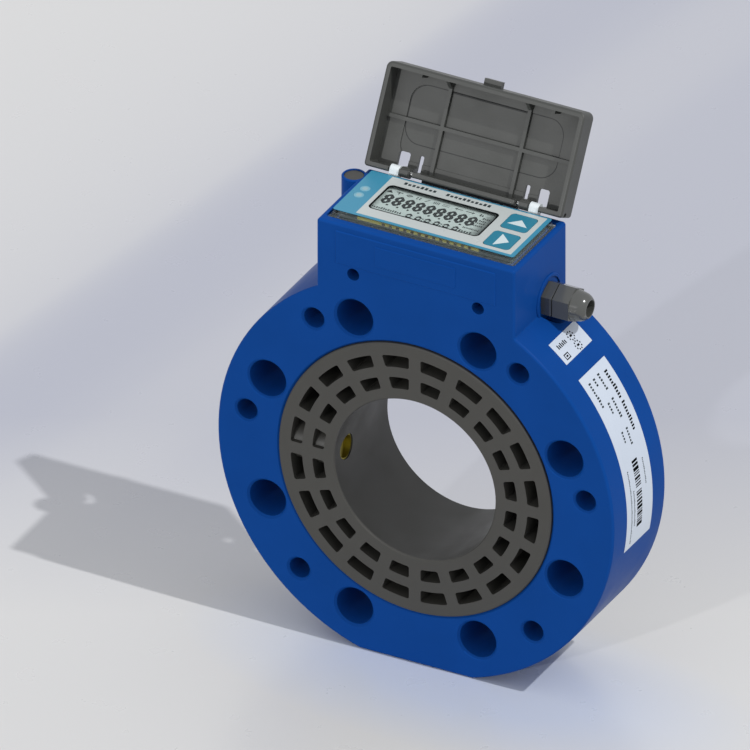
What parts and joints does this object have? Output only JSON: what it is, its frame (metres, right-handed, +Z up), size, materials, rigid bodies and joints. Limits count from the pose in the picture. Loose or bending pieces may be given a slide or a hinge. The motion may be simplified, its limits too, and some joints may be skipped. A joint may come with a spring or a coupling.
{
  "type": "water flow meter",
  "caption": "Thick blue flange body round a slotted dark measuring tube, with a box housing on top that has a display, keys and an open hinged lid, and a cable gland at the side.",
  "frame": {"origin": "on the bore axis, halfway between the front and the rear face of the body", "axes": "+Y along the bore from the front face to the rear face, +Z up to the housing, +X to the right of someone who faces the front"},
  "size_m": [0.197, 0.0768, 0.26],
  "materials": {
    "blue_paint": "semi-gloss",
    "dark_plastic": "satin",
    "lid_plastic": "satin",
    "gland_plastic": "satin",
    "clear_plastic": "clear",
    "film": "satin",
    "key_teal": "satin",
    "light_port": "satin",
    "lcd_glass": "satin",
    "lcd_light": "satin",
    "brass": "machined",
    "steel": "brushed",
    "rubber": "matte",
    "circuit_board": "satin",
    "cell_wrap": "satin",
    "cradle_plastic": "matte",
    "foam": "matte",
    "plate": "satin"
  },
  "bodies": {
    "meter": {"body_casting": "blue_paint", "rear_cover": "blue_paint", "measuring_tube": "dark_plastic", "front_tube_seal": "rubber", "rear_tube_seal": "rubber", "left_transducer": "brass", "right_transducer": "brass", "left_transducer_seal": "rubber", "right_transducer_seal": "rubber", "left_transducer_cap": "dark_plastic", "right_transducer_cap": "dark_plastic", "body_screws": "steel", "housing_screws": "steel", "housing_seal": "rubber", "battery_cradle": "cradle_plastic", "battery_cells": "cell_wrap", "battery_pad": "foam", "main_board": "circuit_board", "main_board_screws": "steel", "board_link": "cradle_plastic", "display_board": "circuit_board", "display_board_screws": "steel", "display_gasket": "rubber", "display_cover": "clear_plastic", "overlay_film": "film", "light_ports": "light_port", "key_domes": "steel", "lcd_backlight": "lcd_light", "lcd_glass": "lcd_glass", "lcd_pins": "steel", "hinge_pins": "steel", "gland_body": "gland_plastic", "gland_washer": "rubber", "gland_nut": "gland_plastic", "gland_seal": "rubber", "post_plug": "dark_plastic", "rating_plate": "plate", "small_plate": "plate"},
    "lid": {"lid": "lid_plastic"},
    "up_key": {"up_key": "key_teal"},
    "enter_key": {"enter_key": "key_teal"}
  },
  "joints": [
    {"name": "lid_hinge", "type": "hinge", "parent": "meter", "child": "lid", "pos_m": [0, 0.02303, 0.12362], "axis": [1, 0, 0], "range_deg": [0, 118.7]},
    {"name": "up_key_press", "type": "slide", "parent": "meter", "child": "up_key", "axis": [0, 0, -1], "range_m": [0, 0.0003], "stiffness_N_per_m": 2000, "springref_m": -0.0005},
    {"name": "enter_key_press", "type": "slide", "parent": "meter", "child": "enter_key", "axis": [0, 0, -1], "range_m": [0, 0.0003], "stiffness_N_per_m": 2000, "springref_m": -0.0005}
  ]
}
